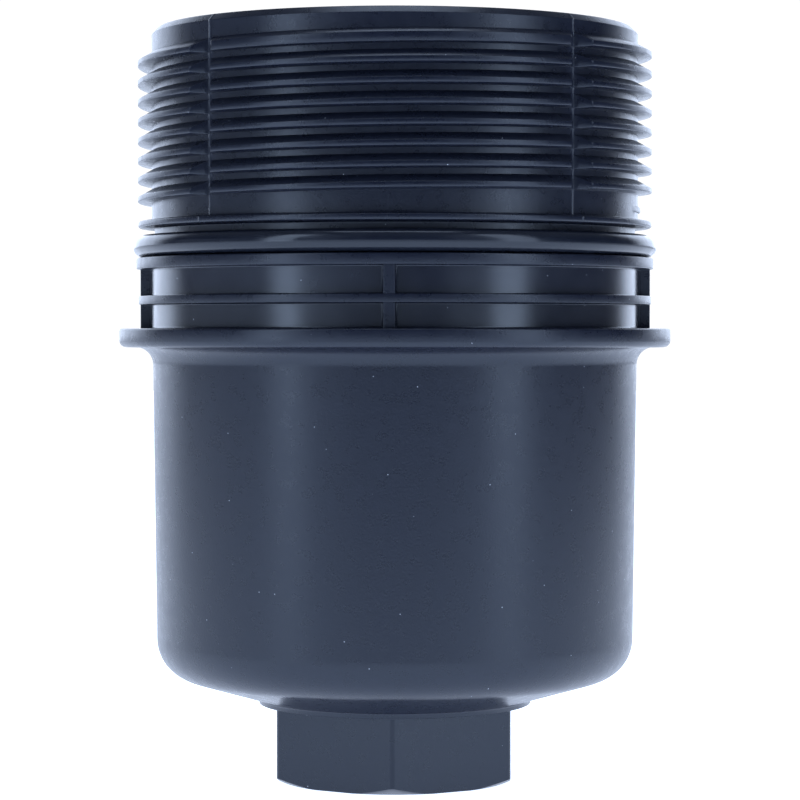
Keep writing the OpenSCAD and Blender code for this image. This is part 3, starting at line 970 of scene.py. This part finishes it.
_, seal_low, seal_high = extent("bypass_valve_seal")
valve_r, disc_low, stem_top = extent("bypass_valve_disc")
turned_piece("bypass_seal_washer", [
    (PORT_R - 1.4, seal_low, 0.15), (valve_r, seal_low, 0.25), (valve_r, seal_high, 0.1),
    (PORT_R - 1.4, seal_high, 0.1)], "bypass_valve", rubber, "bypass_valve_seal")

disc_high = seal_high + DISC_T
turned_piece("bypass_disc_and_stem", [
    (0, disc_low, 0), (PORT_R - 1.45, disc_low, 0.2), (PORT_R - 1.45, seal_high, 0.05),
    (valve_r, seal_high, 0.2), (valve_r, disc_high, 0.3), (DISC_HUB_R, disc_high, 0.3),
    (DISC_HUB_R, disc_high + DISC_T, 0.4), (STEM_R, disc_high + DISC_T, 0.3),
    (STEM_R, stem_top - 0.5, 0.15), (STEM_R - 0.5, stem_top, 0.15), (0, stem_top, 0)],
    "bypass_valve", valve_steel, "bypass_valve_disc", closed=False)


def spring(name, node, radius, wire, low_z, high_z, turns, sides):
    """A coil spring between two faces, a hair clear of both."""
    clear = wire / 2 + 0.05
    path = coil_path(radius, wire, low_z + clear, high_z - clear, turns)
    return add_piece(name, sweep(path, wire / 2, sides), "cap", spring_steel, node, sharp=60)


retainer_r, retainer_z, retainer_top = extent("bypass_spring_retainer")
valve_coil_r = high("bypass_valve_spring").x - VALVE_WIRE / 2
valve_spring = spring("bypass_spring_wire", "bypass_valve_spring", valve_coil_r, VALVE_WIRE, disc_high,
                      retainer_z, 6, 14)
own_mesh(valve_spring)

leg_top = retainer_z + RETAINER_T
guide_top = leg_top + 0.8
retainer_rows = [((r, retainer_z), (r, top)) for r, top in (
    (STEM_R + 0.05, guide_top), (STEM_R + 1.3, guide_top), (STEM_R + 1.4, leg_top),
    (STEM_R + 2.6, leg_top), (retainer_r - 1.6, leg_top), (retainer_r - 0.95, leg_top))]
retainer_rows += [
    ((retainer_r - 0.8, retainer_z), (retainer_r - 0.9, retainer_top - 0.1)),
    ((retainer_r - 0.2, retainer_z + 0.05), (retainer_r - 0.75, retainer_top)),
    ((retainer_r, retainer_z + 0.25), (retainer_r, retainer_top)),
]
LEG_ROW = 3


def retainer_window(degrees, row):
    return row == LEG_ROW and from_nearest(degrees, 90) > RETAINER_LEG_HALF


retainer = add_piece("bypass_spring_cup", turned_wall(retainer_rows, 180, retainer_window), "cap",
                     valve_steel, "bypass_spring_retainer")
bevel(retainer, 0.12)

# ---------------------------------------------------------------- preload spring and its plate

PRELOAD_WIRE = 1.8
PRELOAD_R = 21.5
PLATE_T = 1.1
SLOT_HALF = 10                  # degrees, of the plate's oil slots

plate_r, plate_collar_low, plate_high = extent("spring_plate")
plate_z = plate_high - PLATE_T
preload_spring = spring("preload_spring_wire", "preload_spring", PRELOAD_R, PRELOAD_WIRE, LEDGE_Z, plate_z,
                        3.5, 18)
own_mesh(preload_spring)

plate_hole_r = CARRIER_R + 1
collar_out = PRELOAD_R - PRELOAD_WIRE / 2 - 0.4
slot_r = (plate_hole_r + collar_out) / 2
plate_rows = [((plate_hole_r, plate_z + 0.2), (plate_hole_r, plate_high - 0.2))]
plate_rows += [((r, plate_z), (r, plate_high))
               for r in (plate_hole_r + 0.2, slot_r - 1, slot_r + 1, collar_out - 1.1)]
plate_rows += [
    ((collar_out - 0.9, plate_collar_low), (collar_out - 0.9, plate_high)),
    ((collar_out - 0.1, plate_collar_low), (collar_out - 0.5, plate_high - 0.05)),
    ((collar_out, plate_z - 0.2), (collar_out - 0.2, plate_high - 0.12)),
    ((collar_out + 0.2, plate_z), (collar_out + 0.3, plate_high - 0.05)),
    ((plate_r - 0.3, plate_z), (plate_r - 0.3, plate_high)),
    ((plate_r, plate_z + 0.25), (plate_r, plate_high - 0.25)),
]
SLOT_ROW = 2


def plate_slot(degrees, row):
    return row == SLOT_ROW and from_nearest(degrees, 60) < SLOT_HALF


add_piece("pressed_spring_plate", turned_wall(plate_rows, 360, plate_slot), "spring_plate", valve_steel,
          "spring_plate", sharp=45)

# ---------------------------------------------------------------- filter element

END_T = 2.2
SKIRT_DEEP = 4.6
SKIRT_T = 0.9
END_BEVEL = 0.8
TRACK_LOW_R = 20.5              # the shallow track pressed into the face of an end cap
TRACK_HIGH_R = 26.1
TRACK_DEEP = 0.35
SEAL_R = 16.0
SEAL_RECESS = 0.8
COLLAR_UP = 1.0
LIP = 0.7
UPPER_HOLE_R = 14.0
LOWER_HOLE_R = 14.3
element_low = low("lower_end_cap").z
element_high = high("upper_end_cap").z - COLLAR_UP


def end_cap(name, hole_r, face, way, collar):
    """An end cap whose outer face is at the level face; way is 1 for the upper one."""
    def inward(depth):
        return face - way * depth

    outline = [(hole_r, inward(END_T), 0.2), (ELEMENT_R - SKIRT_T, inward(END_T), 0.3),
               (ELEMENT_R - SKIRT_T, inward(SKIRT_DEEP), 0.3), (ELEMENT_R, inward(SKIRT_DEEP), 0.3),
               (ELEMENT_R, inward(END_BEVEL), 0.5), (ELEMENT_R - END_BEVEL, face, 0.5),
               (TRACK_HIGH_R + 0.1, face, 0.15), (TRACK_HIGH_R - 0.1, inward(TRACK_DEEP), 0.15),
               (TRACK_LOW_R + 0.1, inward(TRACK_DEEP), 0.15), (TRACK_LOW_R - 0.1, face, 0.15)]
    if collar:
        outline += [(SEAL_R + 1.4, face, 0.2), (SEAL_R + 1.2, inward(-collar), 0.25),
                    (SEAL_R, inward(-collar), 0.25)]
    else:
        outline += [(SEAL_R, face, 0.2)]
    outline += [(SEAL_R, inward(SEAL_RECESS), 0.1), (hole_r, inward(SEAL_RECESS), 0.2)]
    turned_piece(name + "_disc", outline, "element", end_plastic, name, steps=240)


end_cap("upper_end_cap", UPPER_HOLE_R, element_high, 1, COLLAR_UP)
end_cap("lower_end_cap", LOWER_HOLE_R, element_low, -1, 0)

upper_lip_r = 12.6
_, seal_foot, seal_top = extent("upper_seal_ring")
rim_foot = element_high - SEAL_RECESS + 0.05
rim_top = element_high + 1.2
turned_piece("upper_lip_seal", [
    (upper_lip_r, seal_foot + LIP, 0.3), (upper_lip_r + LIP, seal_foot, 0.2), (UPPER_HOLE_R, seal_foot, 0.2),
    (UPPER_HOLE_R, rim_foot, 0.1), (SEAL_R - 0.1, rim_foot, 0.1), (SEAL_R - 0.1, rim_top, 0.3),
    (UPPER_HOLE_R, rim_top, 0.2), (UPPER_HOLE_R, seal_top, 0.2), (upper_lip_r + LIP, seal_top, 0.2),
    (upper_lip_r, seal_top - LIP, 0.3)], "element", rubber, "upper_seal_ring")
lower_lip_r = CARRIER_R + 0.05
_, lower_foot, lower_top = extent("lower_seal_ring")
turned_piece("lower_lip_seal", [
    (lower_lip_r, lower_foot + LIP, 0.3), (lower_lip_r + LIP, lower_foot, 0.2),
    (LOWER_HOLE_R, lower_foot, 0.1), (LOWER_HOLE_R, lower_top, 0.2), (lower_lip_r + LIP, lower_top, 0.2),
    (lower_lip_r, lower_top - LIP, 0.3)], "element", rubber, "lower_seal_ring")

CORE_T = 1.2
CORE_ROWS = 8
CORE_COLUMNS = 8
CORE_WINDOW_HALF = 8            # degrees
CORE_BAR = 0.22                 # share of a row that is solid under and over its windows
core_r, core_low, core_top = extent("centre_core")
core_row_h = (core_top - core_low) / CORE_ROWS
core_levels = [core_low]
for k in range(CORE_ROWS):
    row_z = core_low + core_row_h * k
    core_levels += [row_z + CORE_BAR * core_row_h, row_z + (1 - CORE_BAR) * core_row_h]
core_levels.append(core_top)


def core_window(degrees, row):
    """Every other span between levels has windows, turned by half a step from row to row."""
    step = 360 / CORE_COLUMNS
    first = step / 2 if row // 2 % 2 else 0
    return row % 2 == 1 and from_nearest(degrees, step, first) < CORE_WINDOW_HALF


core_rows = [((core_r - CORE_T, z), (core_r, z)) for z in core_levels]
core = add_piece("perforated_core", turned_wall(core_rows, 360, core_window), "element", core_plastic,
                 "centre_core")
bevel(core, 0.25)

PLEATS = 56
PAPER_HALF = 0.4
OUTER_FOLD = 0.5
INNER_FOLD = 0.46
SEAM_PLEAT = 42                 # the fold at -Y, pinched by the seam clip
SEAM_FOLD = 0.24
SEAM_HALF = 0.2
FOLD_STEPS = 6
FOLD_JITTER = 0.16              # degrees
SWAY = 0.07                     # how far the folds wander sideways on their way up
SWAY_WAVE = 6.5
PAPER_ROWS = 20
pleat_tip, paper_low, paper_top = extent("pleated_media")
paper_h = paper_top - paper_low
pleat_foot = core_r + 0.16
paper_rng = random.Random(5)


def axes_at(degrees):
    """Outward and sideways directions at an angle round the axis."""
    a = math.radians(degrees)
    return np.array([math.cos(a), math.sin(a)]), np.array([-math.sin(a), math.cos(a)])


def pleat_path():
    """Middle line of the paper: for each point its place, the direction away from the paper's
    inner side, half the paper's thickness on that side, how far it may sway and its phase."""
    path = []
    turns = [math.pi * (k / FOLD_STEPS - 0.5) for k in range(FOLD_STEPS + 1)]
    for i in range(PLEATS):
        pinched = i == SEAM_PLEAT
        fold = SEAM_FOLD if pinched else OUTER_FOLD
        inner_half = SEAM_HALF if pinched else PAPER_HALF
        jitter = 0 if pinched else paper_rng.uniform(-FOLD_JITTER, FOLD_JITTER)
        outward, sideways = axes_at(360 * i / PLEATS + jitter)
        sway = (0.0 if pinched else SWAY) * sideways
        centre = outward * (pleat_tip - PAPER_HALF - fold - 0.02)
        phase = paper_rng.uniform(0, TURN)
        for t in turns:
            out = math.cos(t) * outward + math.sin(t) * sideways
            path.append((centre + fold * out, out, inner_half, sway, phase))
        outward, sideways = axes_at(360 * (i + 0.5) / PLEATS)
        centre = outward * (pleat_foot + PAPER_HALF + INNER_FOLD)
        for t in turns:
            out = math.cos(t) * outward - math.sin(t) * sideways
            path.append((centre - INNER_FOLD * out, out, PAPER_HALF, 0 * sideways, 0.0))
    return path


paper_path = pleat_path()


def paper_place(a, b, side):
    place, out, inner_half, sway, phase = paper_path[a]
    h = paper_h * b / PAPER_ROWS
    x, y = place + out * (PAPER_HALF if side else -inner_half) + sway * math.sin(h / SWAY_WAVE + phase)
    return x, y, paper_low + h


pleats = cells(len(paper_path), PAPER_ROWS, paper_place, lambda a, b: True)
add_piece("pleated_paper", pleats, "element", paper, "pleated_media", sharp=50)

CLIP_DEEP = 6.2
CLIP_HALF = 0.90
CLIP_T = 0.24
CLIP_SPLAY = 0.05
clip_nose = low("pleat_seam_clip").y
clip_foot = clip_nose + CLIP_DEEP


def seam_strip():
    """A tin strip folded over the seam's fold, its nose towards -Y."""
    outer = [(-CLIP_HALF - CLIP_SPLAY, clip_foot, 0.05), (-CLIP_HALF, clip_nose, 0.6)]
    outer += [(-x, y, radius) for x, y, radius in reversed(outer)]
    inner = [(CLIP_HALF + CLIP_SPLAY - CLIP_T, clip_foot, 0.05),
             (CLIP_HALF - CLIP_T, clip_nose + CLIP_T, 0.4)]
    inner += [(-x, y, radius) for x, y, radius in reversed(inner)]
    outline = rounded(outer + inner)
    return stacked([[(x, y, z) for x, y in outline] for z in extent("pleat_seam_clip")[1:]])


strip = add_piece("folded_seam_strip", seam_strip(), "element", valve_steel, "pleat_seam_clip")
bevel(strip, 0.06)

# Two glue beads round the folds, with an opening at the seam strip
BEAD_GAP = math.radians(1.6)
BEAD_HALF_T = 0.26
BEAD_HALF_H = 0.72
BEAD_DIP = 0.04
BEAD_WANDER = 0.05
BEAD_STEPS = 720
BEAD_IN = 0.8                   # how far the beads are from the ends of their node
beads_r, beads_low, beads_high = extent("pleat_spacer_beads")


def glue_bead(level):
    path = []
    for i in range(BEAD_STEPS + 1):
        t = -math.pi / 2 + BEAD_GAP + (TURN - 2 * BEAD_GAP) * i / BEAD_STEPS
        dip = BEAD_DIP * (math.cos(PLEATS * (t + math.pi / 2)) - 1)
        r = beads_r - BEAD_HALF_T - 0.01 + dip
        path.append(turned(r, level + BEAD_WANDER * math.sin(5 * t + level), t))
    return sweep(path, BEAD_HALF_T, 10, tall=BEAD_HALF_H)


beads = join(glue_bead(beads_low + BEAD_IN), glue_bead(beads_high - BEAD_IN))
add_piece("glue_beads", beads, "element", glue, "pleat_spacer_beads", sharp=60)

# ---------------------------------------------------------------- floor, light and camera


def point_at(thing, place, aim):
    """Puts a lamp or camera at a place and points it at another."""
    thing.location = place
    thing.rotation_euler = (Vector(aim) - thing.location).to_track_quat("-Z", "Y").to_euler()


def area_light(name, place, aim, width, height, radiance):
    """A soft box that isn't seen itself; radiance is what a mirror would show of it."""
    data = bpy.data.lights.new(name, "AREA")
    data.shape = "RECTANGLE"
    data.size = width
    data.size_y = height
    data.energy = radiance * math.pi * width * height
    data.color = BLUE_WHITE
    lamp = add_object(name, data)
    point_at(lamp, place, aim)
    lamp.visible_camera = False


CAMERA_FAR = 0.470
CAMERA_HEIGHT = 0.0702
CAMERA_TURN = math.radians(1.2)
aim_height = CAP_H / 2 * MM + 0.8 * MM
aim_side = 0.8 * MM

camera_data = bpy.data.cameras.new("camera")
camera_data.lens = 135
camera_data.sensor_width = 36
camera = add_object("camera", camera_data)
camera_place = (CAMERA_FAR * math.sin(CAMERA_TURN), -CAMERA_FAR * math.cos(CAMERA_TURN), CAMERA_HEIGHT)
point_at(camera, camera_place, (aim_side, 0, aim_height))
bpy.context.scene.camera = camera


def around(degrees_from_camera, distance, height):
    """A place at that angle round the object from the camera, counted to its right."""
    t = math.radians(degrees_from_camera) - math.pi / 2 + CAMERA_TURN
    return distance * math.cos(t), distance * math.sin(t), height


middle = (0, 0, 0.075)
area_light("box_left", around(-49.5, 0.62, 0.25), middle, 0.15, 0.90, 3.5)
area_light("box_right", around(53.0, 0.62, 0.25), middle, 0.20, 0.90, 3.0)
area_light("front_left", around(-31, 0.80, 0.25), middle, 0.24, 0.90, 0.32)
area_light("front_right", around(33, 0.80, 0.25), middle, 0.24, 0.90, 0.36)
area_light("side_left", around(-88, 0.80, 0.12), middle, 0.60, 0.5, 0.25)
area_light("overhead", (0, 0.05, 0.95), middle, 0.45, 0.45, 2.4)

SWEEP_SEEN = 1.45
SWEEP_GLOW = 1.30
SWEEP_REST = 0.84
SWEEP_RIGHT = 0.35
SWEEP_HALF = 0.50               # metres to each side
SWEEP_FRONT = 0.28              # metres in front of the object
floor_mesh = bpy.data.meshes.new("floor")
half = 3.0
floor_mesh.from_pydata([(-half, -half, 0), (half, -half, 0), (half, half, 0), (-half, half, 0)], [],
                       [(0, 1, 2, 3)])
floor = add_object("floor", floor_mesh)
floor_material, floor_tree, floor_shader = new_material("floor")
feed(floor_shader, Base_Color=(0.85, 0.86, 0.88, 1), Roughness=0.6,
     Emission_Color=BLUE_WHITE + (1,))
# It glows like a lit paper sweep: the object mirrors a bright strip behind and under it, a dimmer
# floor elsewhere and the least on its right, and the camera sees it all alike
floor_place = new_node(floor_tree, "ShaderNodeSeparateXYZ", Vector=coordinates(floor_tree))
sideways = combine("ABSOLUTE", floor_place.outputs["X"], 0)
within = remap(sideways, SWEEP_HALF - 0.1, SWEEP_HALF + 0.1, 1, 0, smooth=True)
behind = remap(floor_place.outputs["Y"], -SWEEP_FRONT - 0.1, -SWEEP_FRONT + 0.1, 0, 1,
               smooth=True)
sweep_part = combine("MULTIPLY", within, behind)
rest_of_it = remap(floor_place.outputs["X"], SWEEP_HALF - 0.2, SWEEP_HALF + 0.1,
                   SWEEP_REST, SWEEP_RIGHT, smooth=True)
glow = combine("MULTIPLY", sweep_part, SWEEP_GLOW)
glow = combine("MAXIMUM", glow, rest_of_it)
floor_rays = floor_tree.nodes.new("ShaderNodeLightPath")
seen_glow = combine("MULTIPLY", floor_rays.outputs["Is Camera Ray"], SWEEP_SEEN)
feed(floor_shader, Emission_Strength=combine("MAXIMUM", glow, seen_glow))
floor_mesh.materials.append(floor_material)

BACKDROP_TURN = math.radians(5.5)    # the backdrop stands a little to the left
BACKDROP_EDGE = (0.53, 0.82)         # cosines off its middle between which it brightens
BACKDROP_RISE = 4.5
BACKDROP_MOST = 3.1
world = bpy.data.worlds.new("studio")
bpy.context.scene.world = world
world.use_nodes = True
sky = world.node_tree
sky.nodes.clear()
direction = sky.nodes.new("ShaderNodeTexCoord").outputs["Generated"]
up = new_node(sky, "ShaderNodeSeparateXYZ", Vector=direction).outputs["Z"]
towards = (-math.sin(BACKDROP_TURN), math.cos(BACKDROP_TURN), 0)
ahead = vector_math("DOT_PRODUCT", direction, towards)["Value"]
backdrop = remap(ahead, *BACKDROP_EDGE, 0.0, BACKDROP_RISE, smooth=True)
backdrop = combine("MINIMUM", backdrop, BACKDROP_MOST)
backdrop = combine("MULTIPLY", backdrop, remap(up, 0.35, 0.65, 1.0, 0.05, smooth=True))
fill = combine("ADD", backdrop, remap(up, 0.40, 0.80, 0.02, 0.16, smooth=True))
mirrored = new_node(sky, "ShaderNodeBackground", Color=BLUE_WHITE + (1,), Strength=fill)
seen = new_node(sky, "ShaderNodeBackground", Color=(1, 1, 1, 1), Strength=1.05)
rays = sky.nodes.new("ShaderNodeLightPath")
choose = new_node(sky, "ShaderNodeMixShader", Fac=rays.outputs["Is Camera Ray"])
sky.links.new(mirrored.outputs["Background"], choose.inputs[1])
sky.links.new(seen.outputs["Background"], choose.inputs[2])
new_node(sky, "ShaderNodeOutputWorld", Surface=choose.outputs["Shader"])

bpy.context.scene.view_settings.view_transform = "Standard"
